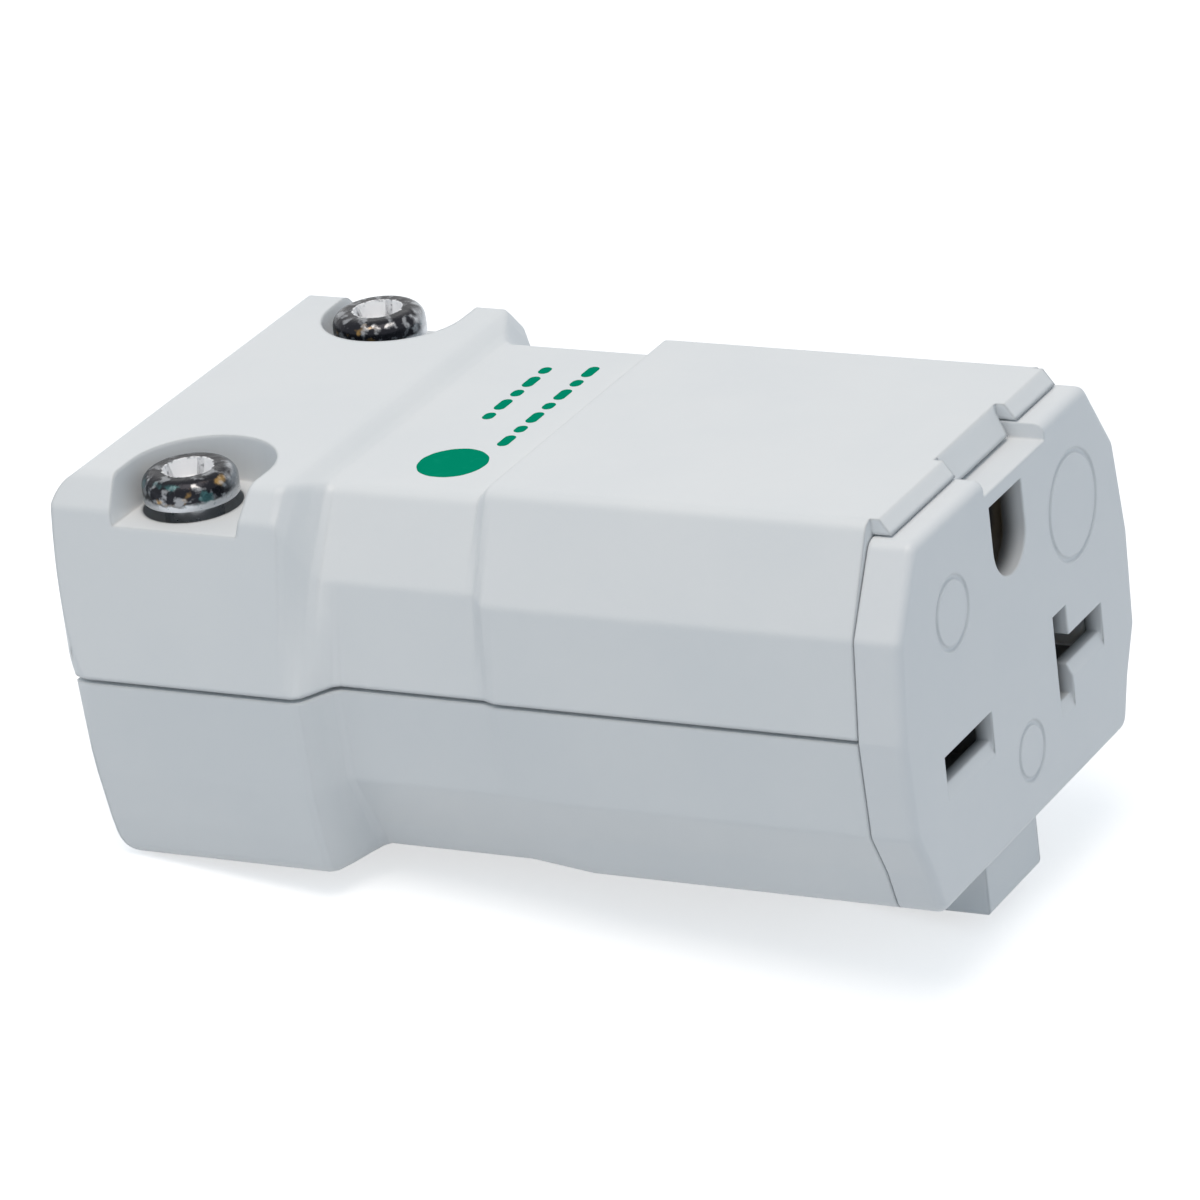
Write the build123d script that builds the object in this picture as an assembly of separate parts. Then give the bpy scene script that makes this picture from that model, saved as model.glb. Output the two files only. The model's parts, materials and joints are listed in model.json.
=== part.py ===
from build123d import *
import math
import os

# A two-pole, three-wire cord connector that opens like a suitcase.
# The body lies along X: the mating face is at +X, the cord end at -X, Y runs across
# and Z is up. The origin is under the middle of the body, level with the keel's underside.
# Depths are measured back from the mating face, rises from the line of the blades.

# Stack along the body, from the mating face to the cord end
plate_depth = 3.3
block_depth = 23.0
retainer_gap = 0.2
retainer_thickness = 2.0
pad_gap = 1.0
terminal_pad = 8.4
terminal_row_gap = 0.8
wiring_gap = 4.4
jaw_length = 9.2
jaw_end_gap = 0.4
end_wall = 5.7

# Outside of the body
seam_rise = 4.4
seam_gap = 0.3
wall = 2.0
edge_round = 1.2
cord_corner_round = 3.0
cord_edge_round = 2.2
plate_gap = 0.08
waist_depth = 31.4
waist_ramp = 1.0
waist_lean = 1.3
belly_depth = 26.4
cord_block_length = 18.8
cord_block_ramp = 2.2
cord_block_lean = 1.5
ramp_steps = 8
cover_end_tuck = 1.4
cover_tuck_rise = 2.6
shell_end_draft = 1.2

# Outline of the body across Y and Z at three places: half width and rise of each corner
front_top = (13.8, 18.15)
front_shoulder = (17.6, 11.3)
front_girth = 18.5
front_hip = (18.2, -2.6)
front_chine = (16.5, -5.9)
front_base = (15.3, -9.35)
waist_top = (13.1, 17.2)
waist_shoulder = (16.6, 11.6)
waist_girth = 18.1
waist_hip = (17.8, -2.6)
waist_chine = (15.8, -6.6)
waist_base = (14.6, -9.1)
cord_top = (16.6, 18.3)
cord_shoulder = (18.3, 16.2)
cord_girth = 20.9
cord_hip = (20.6, -2.6)
cord_chine = (20.2, -6.2)
cord_base = (19.6, -9.3)

# Face plate, and the lip and tongue of the cover that meet it
plate_top_half = 13.9
plate_step = 1.25
plate_edge_round = 0.7
lip_reach = 1.45
lip_slope = 0.8
lip_gap = 0.15
tongue_centre = 1.8
tongue_half = 4.5
tongue_side_gap = 0.45
tongue_drop = 2.1
tongue_slope = 0.9
notch_gap = 0.3

# Catches on the face block and lugs inside the cover
hook_depth = 1.3
hook_width = 0.9
hook_height = 1.6
hook_above_seam = 3.2
hook_gap = 0.3
lug_length = 2.3

# Keel under the front
keel_height = 5.75
keel_half = 4.2
keel_front = 2.3
keel_flat = 11.0
keel_ramp = 4.0
keel_round = 0.6

# Blades that the connector takes, and their slots
blade_width = 6.35
blade_thickness = 1.5
blade_offset = 9.13
upright_offset = 6.35
slot_side_gap = 0.55
slot_face_gap = 0.35
slot_lead_in = 0.9
slot_lead_depth = 0.4
upright_slot_height = 6.6
upright_leaf_margin = 0.35
pin_diameter = 4.75
pin_rise = 11.9
pin_fit = 0.03
ground_slot_half = 2.6
ground_slot_top = 2.8
ground_slot_drop = 0.4

# Plain circles on the face: radius, and place across and above the line of the blades
face_ring_size = 3.95
face_upper_ring = 2.6
face_lower_ring = 2.15
face_ring_cut = 0.15
face_ring_line = 0.35
face_ring_place = (10.1, 9.6)
face_upper_place = (-9.5, 10.1)
face_lower_place = (0.1, -4.3)

# Contact block behind the face plate
block_half = 13.9
block_corner = 3.0
block_floor_gap = 0.5
cavity_front = 1.4
cavity_margin = 0.35
stem_margin = 0.7
tail_gap = 0.2

# Brass contacts
leaf_thickness = 0.8
leaf_gap = 0.03
leaf_side_gap = 0.1
leaf_front = 4.1
leaf_length = 15.0
bridge_length = 1.6
tail_thickness = 1.6
tail_width = 5.0
tail_lap = 3.0
ground_tail_drop = 2.3
sleeve_wall = 0.6
sleeve_front = 2.9
sleeve_front_gap = 1.1
sleeve_length = 14.7
sleeve_slit = 1.2

# Steel springs round the contacts
spring_thickness = 0.5
band_thickness = 0.25
spring_gap = 0.05
spring_length = 5.0
spring_front = 8.0

# Wire terminals
line_pad_top = 3.6
terminal_thread = 2.0
thread_clearance = 0.06
clamp_plate_side = 8.0
clamp_plate_thickness = 1.3
clamp_plate_corner = 0.8
clamp_rest_gap = 0.3
terminal_head_radius = 3.8
terminal_head_height = 2.2
terminal_head_round = 0.7
terminal_slot_width = 1.0
terminal_slot_depth = 1.1
terminal_shank = 7.0
terminal_tip = 0.6
terminal_well = 1.0
terminal_head_gap = 0.05
screw_hole_clearance = 0.3
pedestal_gap = 0.15
barrier_thickness = 1.2
barrier_half = 4.4
barrier_gap = 0.4
barrier_rise = 7.6

# Captive assembly screws, their retaining rings and square nuts
screw_from_end = 8.6
screw_from_side = 7.2
pocket_radius = 4.9
pocket_flare = 0.5
pocket_shift = 1.2
pocket_offset = 0.5
nut_boss_half = 5.2
pocket_depth = 3.1
counterbore_depth = 3.4
boss_floor = 1.4
boss_wall = 1.5
head_radius = 3.35
head_height = 2.0
head_round = 1.0
head_clearance = 0.15
screw_radius = 2.05
screw_tip = 0.6
shank_length = 12.3
near_tip_gap = 0.8
far_tip_gap = 1.65
dish_radius = 1.75
dish_floor_radius = 1.4
dish_depth = 1.2
cross_width = 0.55
cross_depth = 0.5
ring_radius = 3.2
ring_thickness = 0.6
ring_below_head = 6.55
ring_grip_gap = 0.02
ring_room = 0.5
nut_side = 8.6
nut_thickness = 3.2
nut_corner = 0.5
nut_gap = 0.15
nut_roof = 1.6
roof_clearance = 0.55
screw_well = 3.0

# Cord entry and the two jaws that grip the cord
cord_hole_radius = 8.0
jaw_bore_radius = 5.5
jaw_side_gap = 0.5
jaw_height = 9.4
jaw_gap = 0.5
jaw_seat_gap = 0.2
jaw_rib_count = 3
jaw_rib_width = 1.0
jaw_rib_cut = 0.8

# Reach of a cutting shape past what it cuts, and of one that must pass everything
spare = 1.0
clear = 40.0

# Places that follow from the sizes
retainer_depth = block_depth + retainer_gap + retainer_thickness
terminal_depth = retainer_depth + pad_gap + terminal_pad / 2
ground_terminal_depth = terminal_depth + terminal_pad + terminal_row_gap
jaw_front = ground_terminal_depth + terminal_pad / 2 + wiring_gap
body_length = jaw_front + jaw_length + jaw_end_gap + end_wall
cord_block_depth = body_length - cord_block_length
face_x = body_length / 2
cord_x = -body_length / 2
keel_reach = keel_height - front_base[1]
plate_top = (plate_top_half, front_top[1] - plate_step)
block_top = front_top[1] - tongue_drop - notch_gap
block_base = front_base[1] + wall + block_floor_gap
notch_half = tongue_half + tongue_side_gap
hook_rise = seam_rise + hook_above_seam
ground_pad_top = pin_rise - ground_tail_drop
slot_width = blade_width + 2 * slot_side_gap
slot_height = blade_thickness + 2 * slot_face_gap
screw_depth = body_length - screw_from_end
screw_offset = cord_girth - screw_from_side
jaw_half = screw_offset - nut_boss_half - jaw_side_gap
pocket_floor = cord_top[1] - pocket_depth
counterbore_floor = pocket_floor - counterbore_depth
nut_rise = seam_rise - nut_roof
near_head_rise = nut_rise + near_tip_gap + shank_length
far_head_rise = nut_rise + far_tip_gap + shank_length


def behind(depth):
    """X of a place so far behind the mating face."""
    return face_x - depth


def up(rise):
    """Z of a place so far above the line of the blades."""
    return keel_reach + rise


def block(x_low, x_high, y_low, y_high, z_low, z_high):
    """A box between two corners."""
    size = (x_high - x_low, y_high - y_low, z_high - z_low)
    centre = ((x_low + x_high) / 2, (y_low + y_high) / 2, (z_low + z_high) / 2)
    return Pos(*centre) * Box(*size)


def upright(x, y, radius, z_low, z_high):
    """A cylinder standing along Z."""
    return Pos(x, y, (z_low + z_high) / 2) * Cylinder(radius, z_high - z_low)


def along(y, z, radius, depth_near, depth_far):
    """A cylinder lying along X between two depths."""
    middle = behind((depth_near + depth_far) / 2)
    return Pos(middle, y, z) * Rot(0, 90, 0) * Cylinder(radius, depth_far - depth_near)


def mirrored(shape):
    """The same shape on the other side of the middle plane."""
    return mirror(shape, about=Plane.XZ)


# Outline of the body

front_half = [front_top, front_shoulder, (front_girth, seam_rise), front_hip, front_chine, front_base]
waist_half = [waist_top, waist_shoulder, (waist_girth, seam_rise), waist_hip, waist_chine, waist_base]
cord_half = [cord_top, cord_shoulder, (cord_girth, seam_rise), cord_hip, cord_chine, cord_base]
plate_half = [plate_top] + front_half[1:]


def blended(first, second, share):
    """A half outline between two others."""
    return [(a[0] + (b[0] - a[0]) * share, a[1] + (b[1] - a[1]) * share) for a, b in zip(first, second)]


def full_outline(half):
    """Both sides of a half outline, from the top right corner round to the top left one."""
    return half + [(-y, z) for y, z in reversed(half)]


def inset_outline(points, amount):
    """The outline moved inwards by a wall, with its corners kept sharp."""
    moved = []
    count = len(points)
    for index in range(count):
        before, here, after = points[index - 1], points[index], points[(index + 1) % count]
        first = Vector(here[1] - before[1], before[0] - here[0]).normalized()
        second = Vector(after[1] - here[1], here[0] - after[0]).normalized()
        shift = (first + second) * (amount / (1 + first.dot(second)))
        moved.append((here[0] + shift.X, here[1] + shift.Y))
    return moved


def section(half, depth, inset=0.0):
    """The body's cross section at a depth, as a face."""
    points = full_outline(half)
    if inset:
        points = inset_outline(points, inset)
    plane = Plane(origin=(behind(depth), 0, up(0)), x_dir=(0, 1, 0), z_dir=(1, 0, 0))
    corners = [plane.from_local_coords(Vector(y, z)) for y, z in points]
    return make_face(Polyline(*corners, close=True).edges())


def rounded_section(half, depth):
    """The outer cross section at a depth, with its corners rounded."""
    plane = Plane(origin=(behind(depth), 0, up(0)), x_dir=(0, 1, 0), z_dir=(1, 0, 0))
    flat = make_face(Polyline(*full_outline(half), close=True).edges())
    return plane * fillet(flat.vertices(), edge_round)


def height_share(rise):
    """How far up a corner is, from 0 at the seam or below it to 1 at the top of the cord block."""
    return max(0.0, (rise - seam_rise) / (cord_top[1] - seam_rise))


def passed(depth, start, length):
    """Share of a change that lies before a depth, where it starts at one depth and takes a length."""
    return min(1.0, max(0.0, (depth - start) / length))


def half_outline(depth):
    """The body's half outline at a depth: each corner goes from front to waist to cord block."""
    corners = []
    for front, waist, cord in zip(front_half, waist_half, cord_half):
        up_share = height_share(front[1])
        step_start = waist_depth - waist_ramp + waist_lean * up_share
        step = passed(depth, step_start, waist_ramp)
        if front[1] < seam_rise:
            step = passed(depth, belly_depth, waist_depth - belly_depth)
        ramp_start = cord_block_depth - cord_block_ramp + cord_block_lean * height_share(cord[1])
        ramp = (1 - math.cos(math.pi * passed(depth, ramp_start, cord_block_ramp))) / 2
        middle = blended([front], [waist], step)
        corners = corners + blended(middle, [cord], ramp)
    return corners


def stations(front_depth, back_depth):
    """Depth and half outline at each change of the body, from the front to the cord end."""
    depths = [front_depth, belly_depth]
    for corner in (front_top, front_shoulder, (front_girth, seam_rise)):
        step_start = waist_depth - waist_ramp + waist_lean * height_share(corner[1])
        depths = depths + [step_start, step_start + waist_ramp]
    ramp_start = cord_block_depth - cord_block_ramp
    for step in range(ramp_steps + 1):
        depths.append(ramp_start + (cord_block_ramp + cord_block_lean) * step / ramp_steps)
    depths.append(back_depth)
    return [(depth, half_outline(depth)) for depth in sorted(depths)]


def side_outline():
    """The body seen from the side: the cover's end tucks in at the seam, the shell's end leans in."""
    base = up(front_base[1])
    seam = up(seam_rise)
    tucked = cord_x + cover_end_tuck
    upper_end = (cord_x, up(cord_top[1]))
    tuck_start = (cord_x, seam + cover_tuck_rise)
    lower_end = (tucked + shell_end_draft, base)
    points = [(face_x + spare, base), (face_x + spare, up(cord_top[1])), upper_end, tuck_start]
    points = points + [(tucked, seam), lower_end]
    flat = make_face(Polyline(*points, close=True).edges())
    soft = (upper_end, tuck_start, lower_end)
    rounded = [corner for corner in flat.vertices() if (corner.X, corner.Y) in soft]
    return Plane.XZ * fillet(rounded, cord_edge_round)


def envelope(front_depth):
    """The outside of both shells as one solid, from a depth behind the face to the cord end."""
    faces = [rounded_section(half, depth) for depth, half in stations(front_depth, body_length)]
    body = loft(faces, ruled=True)
    plan = Rectangle(body_length + 2 * spare, 2 * cord_girth)
    rear = [corner for corner in plan.vertices() if corner.X < 0]
    plan = fillet(rear, cord_corner_round)
    body = body & extrude(Pos(spare, 0, 0) * plan, amount=clear)
    return body & extrude(side_outline(), amount=clear, both=True)


def cavity():
    """The hollow inside both shells, open at the front."""
    places = stations(-spare, body_length - end_wall)
    faces = [section(half, depth, wall) for depth, half in places]
    return loft(faces, ruled=True)


def half_space(above):
    """Everything above or below the seam, less half the seam's gap."""
    seam = up(seam_rise)
    if above:
        return block(-clear, clear, -clear, clear, seam + seam_gap / 2, seam + clear)
    return block(-clear, clear, -clear, clear, seam - clear, seam - seam_gap / 2)


def keel():
    """The block under the front that the connector stands on."""
    back = keel_front + keel_flat + keel_ramp
    base = up(front_base[1])
    outline = [
        (behind(keel_front), base - plate_gap),
        (behind(keel_front), 0),
        (behind(keel_front + keel_flat), 0),
        (behind(back), base),
        (behind(back), base + wall / 2),
        (behind(plate_depth + plate_gap), base + wall / 2),
        (behind(plate_depth + plate_gap), base - plate_gap),
    ]
    flat = Plane.XZ * make_face(Polyline(*outline, close=True).edges())
    solid = extrude(flat, amount=keel_half, both=True)
    lower = [edge for edge in solid.edges() if edge.center().Z < keel_round]
    return fillet(lower, keel_round)


# Captive screws and what holds them

screw_x = behind(screw_depth)


def pocket(side):
    """Room round one screw head, open to the side of the cord block, with flared walls."""
    x = screw_x + pocket_shift
    y = side * (screw_offset + pocket_offset)
    floor = up(pocket_floor)
    tall = pocket_depth + spare
    wide = pocket_radius + pocket_flare * tall / pocket_depth
    bowl = Pos(x, y, floor + tall / 2) * Cone(pocket_radius, wide, tall)
    mouth = Plane(origin=(x, y + side * clear / 2, floor), x_dir=(1, 0, 0), z_dir=(0, 0, 1))
    low = mouth * Rectangle(2 * pocket_radius, clear)
    high = mouth.offset(tall) * Rectangle(2 * wide, clear)
    return bowl + loft([low.face(), high.face()], ruled=True)


def screw_boss(side):
    """The thick floor of one pocket, inside the cover."""
    reach = pocket_radius + pocket_flare + pocket_shift + boss_wall
    inner = jaw_half + jaw_seat_gap
    low = up(counterbore_floor - boss_floor)
    y_low, y_high = sorted((side * inner, side * clear))
    return block(screw_x - reach, screw_x + reach, y_low, y_high, low, up(cord_top[1]) + spare)


def nut_boss(side):
    """The column in the lower shell that traps one square nut."""
    reach = nut_boss_half
    y_low, y_high = sorted((side * (screw_offset - reach), side * clear))
    top = up(seam_rise) - seam_gap / 2
    return block(screw_x - reach, screw_x + reach, y_low, y_high, up(front_base[1]), top)


def nut_pocket(side):
    """The slot that a square nut slides into from the cord side, with the screw's well."""
    half = nut_side / 2 + nut_gap
    y_low, y_high = sorted((side * (screw_offset + half), side * (screw_offset - nut_boss_half - spare)))
    low = up(nut_rise - nut_thickness) - nut_gap
    slot = block(screw_x - half, screw_x + half, y_low, y_high, low, up(nut_rise) + nut_gap)
    y = side * screw_offset
    roof = upright(screw_x, y, screw_radius + roof_clearance, up(nut_rise), up(seam_rise) + spare)
    well_floor = up(nut_rise - nut_thickness - screw_well)
    well = upright(screw_x, y, screw_radius + screw_hole_clearance, well_floor, up(nut_rise))
    return slot + roof + well


def square_nut(side):
    """One square nut with its bore."""
    y = side * screw_offset
    low, top = up(nut_rise - nut_thickness), up(nut_rise)
    half = nut_side / 2
    body = block(screw_x - half, screw_x + half, y - half, y + half, low, top)
    body = chamfer(body.edges().filter_by(Axis.Z), nut_corner)
    return body - upright(screw_x, y, screw_radius + thread_clearance, low - spare, top + spare)


def assembly_screw(side, head_rise):
    """A pan head screw with a dished cross recess, and a groove for its ring."""
    y = side * screw_offset
    seat = up(head_rise)
    head = upright(screw_x, y, head_radius, seat, seat + head_height)
    head = fillet(head.edges().sort_by(Axis.Z)[-1:], head_round)
    top = seat + head_height
    dish = Pos(screw_x, y, top - dish_depth / 2) * Cone(dish_floor_radius, dish_radius, dish_depth)
    low = top - dish_depth - cross_depth
    bar = block(
        screw_x - dish_radius, screw_x + dish_radius, y - cross_width / 2, y + cross_width / 2, low, top
    )
    bar = bar + Pos(screw_x, y, 0) * Rot(0, 0, 90) * Pos(-screw_x, -y, 0) * bar
    shank = upright(screw_x, y, screw_radius, seat - shank_length, seat)
    tip = shank.edges().sort_by(Axis.Z)[0:1]
    shank = chamfer(tip, screw_tip)
    return head - dish - bar + shank


def retaining_ring(side, head_rise):
    """The ring on a screw's shank that keeps it in the cover."""
    y = side * screw_offset
    top = up(head_rise - ring_below_head)
    ring = upright(screw_x, y, ring_radius, top - ring_thickness, top)
    hole = upright(screw_x, y, screw_radius + ring_grip_gap, top - ring_thickness - spare, top + spare)
    return ring - hole


# Cord entry

def cord_way(radius, depth_near, depth_far):
    """A round way for the cord, centred on the seam."""
    return along(0, up(seam_rise), radius, depth_near, depth_far)


def cord_jaw(above):
    """One jaw with a half-round bore and grip grooves."""
    seam = up(seam_rise)
    sign = 1 if above else -1
    z_low, z_high = sorted((seam + sign * jaw_gap, seam + sign * jaw_height))
    depth_end = jaw_front + jaw_length
    body = block(behind(depth_end), behind(jaw_front), -jaw_half, jaw_half, z_low, z_high)
    body = body - cord_way(jaw_bore_radius, jaw_front - spare, depth_end + spare)
    pitch = jaw_length / jaw_rib_count
    for index in range(jaw_rib_count):
        middle = jaw_front + pitch * (index + 0.5)
        half = (pitch - jaw_rib_width) / 4
        body = body - cord_way(jaw_bore_radius + jaw_rib_cut, middle - half, middle + half)
    return body


def jaw_seat(above):
    """The solid behind a jaw, between it and the outside of its shell."""
    seam = up(seam_rise)
    sign = 1 if above else -1
    outer = jaw_half + jaw_seat_gap
    near = jaw_front - jaw_seat_gap
    roof = sign * (jaw_height + jaw_seat_gap)
    z_low, z_high = sorted((seam + roof, seam + sign * clear))
    return block(behind(body_length - end_wall), behind(near), -outer, outer, z_low, z_high)


# Shells

def pivot_place():
    """X and Z of the edge that the cover rocks on."""
    return behind(plate_depth + plate_gap - lip_reach), up(plate_top[1]) + lip_gap


def cover_lip():
    """The cover's top edge that overhangs the face plate, and the tongue in the middle of it."""
    edge_x, edge_z = pivot_place()
    back = behind(plate_depth + plate_gap + wall)
    half = front_top[0] - edge_round / 2
    top = up(front_top[1])
    profile = [(back, top), (edge_x - lip_slope, top), (edge_x, edge_z), (back, edge_z)]
    flat = Plane.XZ * make_face(Polyline(*profile, close=True).edges())
    lip = extrude(flat, amount=half, both=True)
    left, right = tongue_centre - notch_half, tongue_centre + notch_half
    lip = lip - block(behind(plate_depth + plate_gap), face_x, left, right, edge_z - spare, top + spare)
    low = top - tongue_drop
    front = behind(plate_depth + plate_gap)
    outline = [(back, top), (front, top), (front + tongue_slope, low), (back, low)]
    flat = Plane.XZ * make_face(Polyline(*outline, close=True).edges())
    return lip + Pos(0, tongue_centre, 0) * extrude(flat, amount=tongue_half, both=True)


def hook(side, on_cover):
    """The catch on the face block, or the lug inside the cover that sits under it."""
    if on_cover:
        near = plate_depth + plate_gap + hook_gap
        y_low, y_high = sorted((side * (block_half + hook_gap), side * (front_shoulder[0] - wall / 2)))
        low = up(hook_rise)
        return block(behind(near + lug_length), behind(near), y_low, y_high, low, low + hook_height)
    y_low, y_high = sorted((side * (block_half - spare), side * (block_half + hook_width)))
    low = up(hook_rise) + hook_height + hook_gap
    x_near = behind(plate_depth - plate_gap)
    return block(behind(plate_depth + hook_depth), x_near, y_low, y_high, low, low + hook_height)


def upper_cover():
    """The half that lifts: roof, sides, lip, screw pockets and the upper half of the cord entry."""
    outside = envelope(plate_depth + plate_gap)
    shell = outside - cavity()
    for side in (-1, 1):
        shell = shell + (screw_boss(side) & outside)
    shell = shell + (jaw_seat(True) & outside)
    shell = shell & half_space(True)
    shell = shell + cover_lip()
    for side in (-1, 1):
        y = side * screw_offset
        sink_top = up(pocket_floor) + spare
        sink = upright(screw_x, y, head_radius + head_clearance, up(counterbore_floor), sink_top)
        hole = upright(screw_x, y, screw_radius + screw_hole_clearance, up(seam_rise), up(pocket_floor))
        room = upright(screw_x, y, ring_radius + ring_room, up(0), up(counterbore_floor - boss_floor))
        shell = shell - pocket(side) - sink - hole - room + hook(side, True)
    return shell - cord_way(cord_hole_radius, body_length - end_wall - spare, body_length + spare)


def pedestal(depth, y, top_rise):
    """The post in the lower shell that carries one terminal, with room for its screw."""
    half = terminal_pad / 2
    x = behind(depth)
    low = up(front_base[1]) + wall / 2
    top = up(top_rise) - tail_thickness - pedestal_gap
    post = block(x - half, x + half, y - half, y + half, low, top)
    room = terminal_thread + screw_hole_clearance
    return post - upright(x, y, room, up(top_rise) - terminal_shank - terminal_well, top + spare)


def barrier(side):
    """The low wall between a line terminal's wiring and the ground's."""
    y_low, y_high = sorted((side * barrier_half, side * (barrier_half - barrier_thickness)))
    near, far = retainer_depth + barrier_gap, terminal_depth + terminal_pad / 2
    return block(behind(far), behind(near), y_low, y_high, up(front_base[1]) + wall / 2, up(barrier_rise))


def lower_shell():
    """The half that stays: floor, sides, keel, terminal posts, barriers and nut columns."""
    outside = envelope(plate_depth + plate_gap)
    shell = outside - cavity()
    for side in (-1, 1):
        shell = shell + (nut_boss(side) & outside)
    shell = shell + (jaw_seat(False) & outside)
    shell = shell & half_space(False)
    shell = shell + keel()
    for side in (-1, 1):
        shell = shell + pedestal(terminal_depth, side * blade_offset, line_pad_top) + barrier(side)
        shell = shell - nut_pocket(side)
    shell = shell + pedestal(ground_terminal_depth, 0, ground_pad_top)
    return shell - cord_way(cord_hole_radius, body_length - end_wall - spare, body_length + spare)


# Face block with its contact cavities

def slot_prism(y, width, height, depth_near, depth_far):
    """A rectangular hole along X, centred on the blade line."""
    return block(
        behind(depth_far), behind(depth_near), y - width / 2, y + width / 2, up(-height / 2), up(height / 2)
    )


def lead_in(y, width, height):
    """The bevelled lower edge at the mouth of a blade slot."""
    lip = up(-height / 2)
    outline = [(face_x + spare, lip), (behind(slot_lead_depth), lip)]
    slope = slot_lead_in / slot_lead_depth
    outline.append((face_x + spare, lip - slot_lead_in - slope * spare))
    flat = Plane.XZ * make_face(Polyline(*outline, close=True).edges())
    return Pos(0, y, 0) * extrude(flat, amount=width / 2, both=True)


def blade_slots():
    """The straight slot and the T slot, with their mouths."""
    reach = cavity_front + spare
    openings = [(-blade_offset, slot_width, slot_height), (blade_offset, slot_width, slot_height)]
    openings.append((upright_offset, slot_height, upright_slot_height))
    pieces = []
    for y, wide, tall in openings:
        pieces.append(slot_prism(y, wide, tall, -spare, reach) + lead_in(y, wide, tall))
    return pieces[0] + pieces[1] + pieces[2]


def ground_slot():
    """The U-shaped hole for the ground pin, flat at the top."""
    middle = up(pin_rise - ground_slot_drop)
    top = up(pin_rise + ground_slot_top)
    half = ground_slot_half
    arc = along(0, middle, half, -spare, sleeve_front)
    return arc + block(behind(sleeve_front), face_x + spare, -half, half, middle, top)


def contact_cavities():
    """Rooms for the contacts, open at the back of the block."""
    back = block_depth + spare
    reach = leaf_thickness + spring_thickness + spring_gap + cavity_margin
    tall = blade_thickness + 2 * reach
    wide = slot_width + 2 * cavity_margin
    rooms = slot_prism(-blade_offset, wide, tall, cavity_front, back)
    rooms = rooms + slot_prism(blade_offset, wide, tall, cavity_front, back)
    stem = upright_slot_height + 2 * stem_margin
    rooms = rooms + slot_prism(upright_offset, tall, stem, cavity_front, back)
    radius = pin_diameter / 2 + pin_fit + sleeve_wall + cavity_margin
    rooms = rooms + along(0, up(pin_rise), radius, sleeve_front - sleeve_front_gap, back)
    strip = tail_width / 2 + tail_gap
    low = up(ground_pad_top - tail_thickness) - tail_gap
    rooms = rooms + block(behind(back), behind(spring_front), -strip, strip, low, up(pin_rise))
    riser = behind(leaf_front + leaf_length - tail_gap)
    high = up(line_pad_top) + tail_gap
    for y in (-blade_offset, blade_offset):
        rooms = rooms + block(behind(back), riser, y - strip, y + strip, up(0), high)
    return rooms


def face_rings():
    """Shallow plain circles moulded into the face."""
    rings = []
    places = [(face_ring_place, face_ring_size), (face_upper_place, face_upper_ring)]
    places.append((face_lower_place, face_lower_ring))
    for (y, rise), radius in places:
        plane = Plane(origin=(face_x, y, up(rise)), x_dir=(0, 1, 0), z_dir=(1, 0, 0))
        line = Circle(radius) - Circle(radius - face_ring_line)
        rings.append(extrude(plane * line, amount=-face_ring_cut))
    return rings


def block_outline(depth_near, depth_far):
    """The contact block's outer form between two depths."""
    low, high = up(block_base), up(block_top)
    body = block(behind(depth_far), behind(depth_near), -block_half, block_half, low, high)
    return chamfer(body.edges().filter_by(Axis.X), block_corner)


def face_block():
    """Face plate, contact block and catches in one moulding."""
    plane = Plane(origin=(behind(plate_depth), 0, up(0)), x_dir=(0, 1, 0), z_dir=(1, 0, 0))
    flat = make_face(Polyline(*full_outline(plate_half), close=True).edges())
    plate = extrude(plane * fillet(flat.vertices(), edge_round), amount=plate_depth)
    rim = plate.faces().sort_by(Axis.X)[-1].outer_wire().edges()
    plate = fillet(rim, plate_edge_round)
    left, right = tongue_centre - notch_half, tongue_centre + notch_half
    notch = block(behind(plate_depth + spare), face_x + spare, left, right, up(block_top), up(front_top[1]))
    solid = plate - notch + block_outline(plate_depth - spare, block_depth)
    for side in (-1, 1):
        solid = solid + hook(side, False)
    solid = solid - contact_cavities() - blade_slots() - ground_slot()
    for ring in face_rings():
        solid = solid - ring
    return solid


def contact_retainer():
    """The plate that closes the back of the contact block and lets the tails through."""
    near = retainer_depth - retainer_thickness
    plate = block_outline(near, retainer_depth)
    half = tail_width / 2 + tail_gap
    x_low, x_high = behind(retainer_depth + spare), behind(near - spare)
    for y, pad_top in ((-blade_offset, line_pad_top), (blade_offset, line_pad_top), (0, ground_pad_top)):
        low, high = up(pad_top) - tail_thickness - tail_gap, up(pad_top) + tail_gap
        plate = plate - block(x_low, x_high, y - half, y + half, low, high)
    return plate


# Contacts

def terminal_tail(y, pad_top, depth_start, depth_terminal):
    """The strip from a contact to its terminal pad, with the pad's screw hole."""
    half = tail_width / 2
    pad = terminal_pad / 2
    x = behind(depth_terminal)
    z_low, z_high = up(pad_top) - tail_thickness, up(pad_top)
    strip = block(x, behind(depth_start), y - half, y + half, z_low, z_high)
    plate = block(x - pad, x + pad, y - pad, y + pad, z_low, z_high)
    hole = upright(x, y, terminal_thread + thread_clearance, z_low - spare, z_high + spare)
    return strip + plate - hole


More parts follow.
